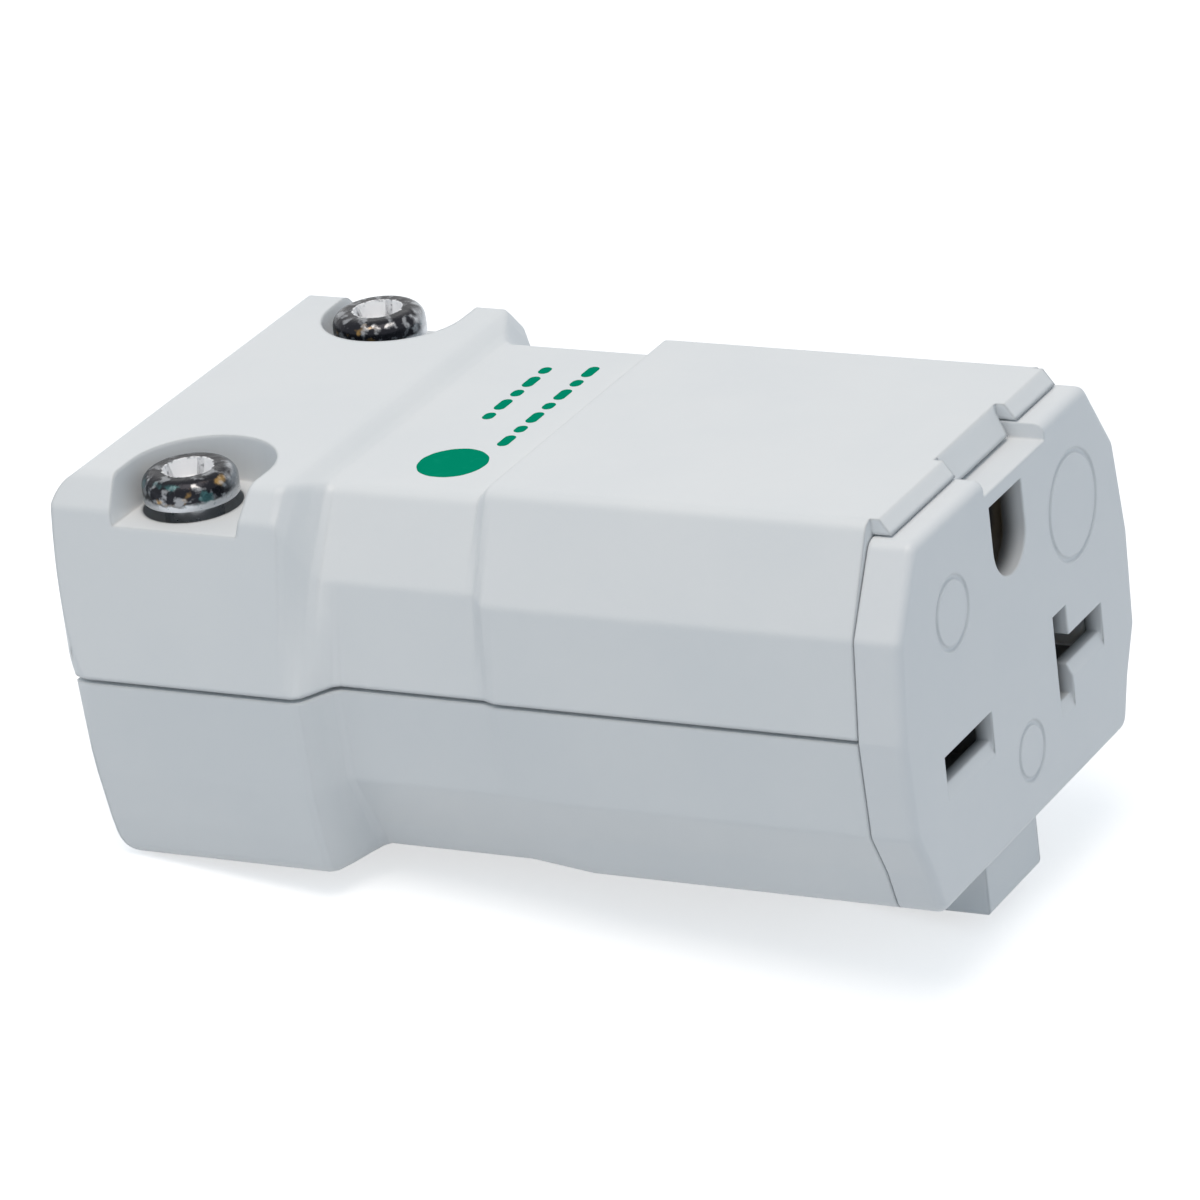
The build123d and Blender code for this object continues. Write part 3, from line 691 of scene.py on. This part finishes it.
@dataclass
class Thread:
    """A screw thread cut on a round shank, from a depth below the seat to the tip."""

    radius: float
    length: float
    start: float
    pitch: float = 0.794 * MM
    depth: float = 0.34 * MM
    runout: float = 0.8 * MM
    tip: float = 0.6 * MM
    crest_width: float = 1.25
    steps_in_pitch: int = 8
    sides: int = 48

    def ring(self, drop: float) -> Ring:
        """The thread's section at a depth below the seat.

        Args:
            drop: Depth below the seat.

        Returns:
            The ring at that depth.
        """
        cut_in = min(1.0, max(0.0, (drop - self.start) / self.runout))
        taper = max(0.0, drop - (self.length - self.tip))

        def section(angle: float) -> tuple[float, float]:
            """Radius and height at an angle."""
            phase = (drop / self.pitch + angle / (2 * math.pi)) % 1.0
            crest = 1.0 - abs(2 * phase - 1.0)
            radius = self.radius - self.depth * cut_in * (1.0 - min(1.0, self.crest_width * crest))
            return min(radius, self.radius - taper), -drop

        return section

    def rings(self, sunk: float) -> list[Ring]:
        """All rings from inside the head to the tip.

        Args:
            sunk: How far the shank's top is sunk into the head.

        Returns:
            The rings, from the top down.
        """
        made = [fixed(self.radius, sunk), fixed(self.radius, -self.start)]
        count = math.ceil((self.length - self.start) / self.pitch * self.steps_in_pitch)
        step = (self.length - self.start) / count
        return made + [self.ring(self.start + step * index) for index in range(1, count + 1)]


# Mouldings and stampings


@dataclass
class RoundedNode:
    """A CAD node shown as a copy with its sharp edges rounded, in place of the node."""

    node: str
    finish: Finish
    edge: float
    segments: int = 3
    sharp_deg: float = 38.0
    crease_deg: float = 14.0
    flat_deg: float = 0.6
    weld: float = 0.02 * MM

    def cleaned(self) -> bmesh.types.BMesh:
        """The node's mesh with its seams closed and its flat faces whole.

        Returns:
            The cleaned copy.
        """
        source = bmesh.new()
        source.from_mesh(frame["nodes"][self.node].data)
        bmesh.ops.remove_doubles(source, verts=source.verts, dist=self.weld)
        flat = math.radians(self.flat_deg)
        bmesh.ops.dissolve_limit(source, angle_limit=flat, verts=source.verts, edges=source.edges)
        return source

    def build(self, paint: Paintbox) -> bpy.types.Object:
        """Make the piece, dress it and put it in the node's place.

        Args:
            paint: The materials.

        Returns:
            The piece.
        """
        form = self.cleaned()
        self.shape(form)
        crease = math.radians(self.crease_deg)
        for face in form.faces:
            face.smooth = True
        for edge in form.edges:
            edge.smooth = edge.calc_face_angle(0.0) < crease
        mesh = bpy.data.meshes.new(f"{self.node}_form")
        form.to_mesh(mesh)
        form.free()
        piece = placed(f"{self.node}_form", mesh)
        self.round_edges(piece)
        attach(piece, body_of(frame["nodes"][self.node])[0])
        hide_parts(self.node)
        paint.dress(piece, self.finish)
        log.info("built %s: %d faces before rounding", piece.name, len(mesh.polygons))
        return piece

    def shape(self, form: bmesh.types.BMesh) -> None:
        """Change the form before its edges are rounded; a plain node needs nothing."""

    def round_edges(self, piece: bpy.types.Object) -> None:
        """Round the piece's sharp edges and keep its large faces flat in the light."""
        bevel = piece.modifiers.new("edges", "BEVEL")
        bevel.width = self.edge
        bevel.segments = self.segments
        bevel.limit_method = "ANGLE"
        bevel.angle_limit = math.radians(self.sharp_deg)
        bevel.use_clamp_overlap = True
        bevel.harden_normals = True


@dataclass
class ThreadedScrew(RoundedNode):
    """A screw whose head is the CAD form with rounded edges, on a shank with a real thread."""

    crease_deg: float = 30.0
    shank_length: float = 7.0 * MM
    shank_radius: float = 2.0 * MM
    thread_start: float = 0.8 * MM
    sunk: float = 0.3 * MM
    cut_lift: float = 0.001 * MM

    def shape(self, form: bmesh.types.BMesh) -> None:
        """Cut the plain shank off the head, close the head and add the threaded shank.

        Args:
            form: The screw's mesh.
        """
        low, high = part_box(self.node)
        seat = low[2] + self.shank_length
        centre = Vector(((low[0] + high[0]) / 2, (low[1] + high[1]) / 2, seat))
        geometry = form.verts[:] + form.edges[:] + form.faces[:]
        under = Vector((0.0, 0.0, -1.0))
        level = centre + Vector((0.0, 0.0, self.cut_lift))
        cut = bmesh.ops.bisect_plane(form, geom=geometry, plane_co=level, plane_no=under, clear_outer=True)
        edges = [item for item in cut["geom_cut"] if isinstance(item, bmesh.types.BMEdge)]
        bmesh.ops.holes_fill(form, edges=edges)
        thread = Thread(self.shank_radius, self.shank_length, self.thread_start)
        turned(form, centre, thread.rings(self.sunk), thread.sides)


@dataclass
class Mouldings:
    """The white housing, the insulating retainer and the grey cord jaws."""

    shell_edge: float = 0.12 * MM
    face_edge: float = 0.07 * MM
    retainer_edge: float = 0.2 * MM
    jaw_edge: float = 0.25 * MM
    housing_crease_deg: float = 3.0
    housing_flat_deg: float = 0.05

    def build(self, paint: Paintbox) -> None:
        """Build and dress every moulding."""
        housing = (
            ("upper_cover", WHITE_NYLON, self.shell_edge),
            ("lower_shell", WHITE_NYLON, self.shell_edge),
            ("face_block", FACE_NYLON, self.face_edge),
        )
        crease, flat = self.housing_crease_deg, self.housing_flat_deg
        for node, finish, edge in housing:
            RoundedNode(node, finish, edge, crease_deg=crease, flat_deg=flat).build(paint)
        RoundedNode("contact_retainer", IVORY, self.retainer_edge).build(paint)
        for node in ("upper_cord_jaw", "lower_cord_jaw"):
            RoundedNode(node, JAW_NYLON, self.jaw_edge).build(paint)


@dataclass
class ContactSet:
    """Brass contacts, their steel springs, and the nuts, rings and clamp plates."""

    brass_edge: float = 0.12 * MM
    spring_edge: float = 0.07 * MM
    plate_edge: float = 0.18 * MM
    nut_edge: float = 0.25 * MM
    ring_edge: float = 0.1 * MM
    thin_segments: int = 2

    def build(self, paint: Paintbox) -> None:
        """Build and dress every stamping."""
        thin = self.thin_segments
        for node in ("near_line_contact", "far_line_contact", "ground_contact"):
            RoundedNode(node, BRASS, self.brass_edge).build(paint)
        for node in ("near_line_spring", "far_line_spring", "ground_sleeve_spring"):
            RoundedNode(node, SPRING_STEEL, self.spring_edge, thin).build(paint)
        for node in ("near_line_clamp_plate", "far_line_clamp_plate", "ground_clamp_plate"):
            RoundedNode(node, ZINC, self.plate_edge).build(paint)
        for side in Side:
            prefix = side.name.lower()
            RoundedNode(f"{prefix}_square_nut", ZINC, self.nut_edge).build(paint)
            RoundedNode(f"{prefix}_retaining_ring", SPRING_STEEL, self.ring_edge, thin).build(paint)


@dataclass
class Screws:
    """Two captive assembly screws and three terminal screws."""

    assembly_length: float = 12.3 * MM
    assembly_radius: float = 2.05 * MM
    assembly_thread_start: float = 7.2 * MM
    assembly_edge: float = 0.14 * MM
    terminal_edge: float = 0.16 * MM
    terminal_finishes: Mapping[str, Finish] = field(
        default_factory=lambda: {"near_line": SCREW_BRASS, "far_line": SCREW_BRASS, "ground": GREEN_DYE}
    )

    def build(self, paint: Paintbox) -> None:
        """Build and dress every screw."""
        for side in Side:
            node = f"{side.name.lower()}_assembly_screw"
            low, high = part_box(node)
            centre = Vector(((low[0] + high[0]) / 2, (low[1] + high[1]) / 2, high[2]))
            plating = PlatedHead(f"{side.name.lower()}_plating", "nickel_screw", centre, high[2])
            ThreadedScrew(
                node,
                plating,
                self.assembly_edge,
                shank_length=self.assembly_length,
                shank_radius=self.assembly_radius,
                thread_start=self.assembly_thread_start,
            ).build(paint)
        for name, finish in self.terminal_finishes.items():
            ThreadedScrew(f"{name}_terminal_screw", finish, self.terminal_edge).build(paint)


# Print on the cover


@dataclass
class PrintedMarks:
    """The green dot and plain dashes printed across the cover's waist."""

    waist_drop: float = 1.1 * MM
    film: float = 0.015 * MM
    dot_depth: float = 37.4 * MM
    dot_across: float = -7.95 * MM
    dot_radius: float = 2.5 * MM
    dash_half_height: float = 0.42 * MM
    dash_gap: float = 0.55 * MM
    dash_end_steps: int = 10
    edge_waves: Sequence[tuple[float, int]] = ((0.006, 5), (0.004, 13))
    dash_rows: Sequence[tuple[float, float, Sequence[float]]] = (
        (35.5, -4.6, (1.9, 1.2, 1.9, 1.2, 1.9, 1.2, 1.9)),
        (38.9, -0.4, (1.2, 1.9, 1.2, 1.9, 1.2)),
    )
    edge_sides: int = 72
    flat_share: float = 0.5
    slope_share: float = 0.98
    edge_film_share: float = 0.4

    def surface_level(self) -> float:
        """Height of the waist's top, from the cover's box."""
        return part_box("upper_cover")[1][2] - self.waist_drop

    def build(self, paint: Paintbox) -> None:
        """Print the marks on the cover.

        Args:
            paint: The materials.
        """
        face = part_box("face_block")[1][0]
        level = self.surface_level()
        ink = PrintInk()
        form = bmesh.new()
        self.add_dot(form, Vector((face - self.dot_depth, self.dot_across, level)))
        self.finish_piece(form, "green_dot", paint, ink)
        form = bmesh.new()
        for depth_mm, start_mm, lengths in self.dash_rows:
            across = start_mm * MM
            for length_mm in lengths:
                length = length_mm * MM
                middle = Vector((face - depth_mm * MM, across + length / 2, level))
                self.add_dash(form, middle, length / 2)
                across += length + self.dash_gap
        self.finish_piece(form, "green_dashes", paint, ink)

    def add_dot(self, form: bmesh.types.BMesh, centre: Vector) -> None:
        """Add the dot: a thin disc whose edge wavers as ink does.

        Args:
            form: The mesh that takes it.
            centre: Its centre on the cover.
        """

        def waver(angle: float) -> float:
            """The edge's radius at an angle, as a share of the even radius."""
            return 1 + sum(size * math.sin(count * angle) for size, count in self.edge_waves)

        def edge(share: float, height: float) -> Ring:
            """A wavering ring at a share of the radius."""
            return lambda angle: (self.dot_radius * share * waver(angle), height)

        rings = [
            edge(self.flat_share, self.film),
            edge(self.slope_share, self.film),
            edge(1.0, self.film * self.edge_film_share),
            edge(1.0, -self.film),
        ]
        turned(form, centre, rings, self.edge_sides)

    def add_dash(self, form: bmesh.types.BMesh, middle: Vector, half_length: float) -> None:
        """Add one round-ended dash that lies across the cover.

        Args:
            form: The mesh that takes it.
            middle: Its middle on the cover.
            half_length: Half its length.
        """
        radius = self.dash_half_height
        straight = half_length - radius
        outline = []
        for end in (1, -1):
            for step in range(self.dash_end_steps + 1):
                angle = math.pi * step / self.dash_end_steps
                x = radius * math.cos(angle) * end
                y = (straight + radius * math.sin(angle)) * end
                outline.append((x, y))
        top = [form.verts.new(middle + Vector((x, y, self.film))) for x, y in outline]
        base = [form.verts.new(middle + Vector((x, y, -self.film))) for x, y in outline]
        form.faces.new(top)
        form.faces.new(list(reversed(base)))
        for index in range(len(outline)):
            after = (index + 1) % len(outline)
            form.faces.new((top[index], base[index], base[after], top[after]))

    def finish_piece(self, form: bmesh.types.BMesh, name: str, paint: Paintbox, ink: PrintInk) -> None:
        """Turn a form into a printed piece on the cover.

        Args:
            form: The mesh.
            name: The piece's name.
            paint: The materials.
            ink: The ink.
        """
        bmesh.ops.recalc_face_normals(form, faces=form.faces)
        mesh = bpy.data.meshes.new(name)
        form.to_mesh(mesh)
        form.free()
        piece = placed(name, mesh)
        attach(piece, Body.COVER.value)
        paint.dress(piece, ink)
        log.info("printed %s: %d faces", name, len(mesh.polygons))


# Stage


@dataclass
class Lamp:
    """A square soft lamp that points at the object."""

    name: str
    place: Vector
    size: float
    power: float
    colour: Colour

    def build(self, target: Vector) -> None:
        """Hang the lamp.

        Args:
            target: The point that it faces.
        """
        data = bpy.data.lights.new(self.name, "AREA")
        data.shape = "SQUARE"
        data.size = self.size
        data.energy = self.power
        data.color = self.colour
        lamp = bpy.data.objects.new(self.name, data)
        bpy.context.scene.collection.objects.link(lamp)
        lamp.location = self.place
        lamp.rotation_euler = (target - self.place).to_track_quat("-Z", "Y").to_euler()


@dataclass
class Studio:
    """A white floor at the slope on which the connector rests, a pale world, a soft lamp and the camera."""

    heel_x: float = 18.45 * MM
    rear_x: float = -29.0 * MM
    rear_z: float = 5.9 * MM
    floor_half: float = 2.5
    floor_drop: float = 0.05 * MM
    ambient: Colour = (0.75, 0.88, 1.0)
    ambient_strength: float = 0.525
    photo_pixels: float = 1200.0
    focal_pixels: float = 7393.504
    sensor: float = 36.0
    azimuth_deg: float = 29.935
    elevation_deg: float = 22.855
    roll_deg: float = -7.303
    distance: float = 0.51401
    shift_right: float = 0.002266
    shift_up: float = 0.003448
    camera_near: float = 0.01
    lamp_size: float = 0.38
    lamp_power: float = 1.5
    lamp_colour: Colour = (1.0, 0.88, 0.77)
    lamp_place: Vector = field(default_factory=lambda: Vector((0.05, -0.11, 0.54)))
    aim: Vector = field(default_factory=lambda: Vector((-3.25 * MM, 0.0, 15.1 * MM)))

    def build(self) -> None:
        """Build the whole stage."""
        self.build_floor()
        self.build_world()
        self.build_camera()
        overhead = Lamp("overhead", self.lamp_place, self.lamp_size, self.lamp_power, self.lamp_colour)
        overhead.build(self.aim)

    def build_floor(self) -> None:
        """Lay the floor through the keel's heel and the shell's rear edge."""
        slope = self.rear_z / (self.heel_x - self.rear_x)
        along = Vector((1.0, 0.0, -slope)).normalized() * self.floor_half
        across = Vector((0.0, self.floor_half, 0.0))
        origin = Vector((self.heel_x, 0.0, -self.floor_drop))
        form = bmesh.new()
        corners = [(-1, -1), (1, -1), (1, 1), (-1, 1)]
        form.faces.new([form.verts.new(origin + along * a + across * b) for a, b in corners])
        mesh = bpy.data.meshes.new("floor")
        form.to_mesh(mesh)
        form.free()
        mesh.materials.append(StageFinish("floor_white").build())
        placed("floor", mesh)

    def build_world(self) -> None:
        """Light from all round, white where the camera or a reflection sees it."""
        world = bpy.data.worlds.new("studio")
        bpy.context.scene.world = world
        world.use_nodes = True
        nodes, links = world.node_tree.nodes, world.node_tree.links
        nodes.clear()
        path = nodes.new("ShaderNodeLightPath")
        seen = nodes.new("ShaderNodeMath")
        seen.operation = "ADD"
        links.new(path.outputs["Is Camera Ray"], seen.inputs[0])
        links.new(path.outputs["Is Glossy Ray"], seen.inputs[1])
        either = nodes.new("ShaderNodeMath")
        either.operation = "ADD"
        either.use_clamp = True
        links.new(seen.outputs[0], either.inputs[0])
        links.new(path.outputs["Is Transmission Ray"], either.inputs[1])
        soft = nodes.new("ShaderNodeBackground")
        soft.inputs["Color"].default_value = (*self.ambient, 1.0)
        soft.inputs["Strength"].default_value = self.ambient_strength
        white = nodes.new("ShaderNodeBackground")
        white.inputs["Color"].default_value = (1.0, 1.0, 1.0, 1.0)
        mixed = nodes.new("ShaderNodeMixShader")
        links.new(either.outputs[0], mixed.inputs[0])
        links.new(soft.outputs[0], mixed.inputs[1])
        links.new(white.outputs[0], mixed.inputs[2])
        output = nodes.new("ShaderNodeOutputWorld")
        links.new(mixed.outputs[0], output.inputs[0])

    def build_camera(self) -> None:
        """Place the camera as the photograph's."""
        azimuth, elevation = math.radians(self.azimuth_deg), math.radians(self.elevation_deg)
        roll = math.radians(self.roll_deg)
        flat = math.cos(elevation)
        back = Vector((math.sin(azimuth) * flat, -math.cos(azimuth) * flat, math.sin(elevation)))
        level = Vector((math.cos(azimuth), math.sin(azimuth), 0.0))
        upward = back.cross(level)
        right = level * math.cos(roll) + upward * math.sin(roll)
        up = upward * math.cos(roll) - level * math.sin(roll)
        place = self.aim + back * self.distance + right * self.shift_right + up * self.shift_up
        data = bpy.data.cameras.new("camera")
        data.sensor_width = self.sensor
        data.lens = self.focal_pixels / self.photo_pixels * self.sensor
        data.clip_start = self.camera_near
        camera = bpy.data.objects.new("camera", data)
        bpy.context.scene.collection.objects.link(camera)
        turn = Matrix((right, up, back)).transposed().to_4x4()
        camera.matrix_world = Matrix.Translation(place) @ turn
        bpy.context.scene.camera = camera


def main() -> None:
    """Build every part of the scene in order."""
    logging.basicConfig(level=logging.INFO, format="%(name)s: %(message)s")
    bpy.context.scene.view_settings.view_transform = "Standard"
    paint = Paintbox()
    Mouldings().build(paint)
    ContactSet().build(paint)
    Screws().build(paint)
    PrintedMarks().build(paint)
    Studio().build()


if __name__ == "__main__":
    main()
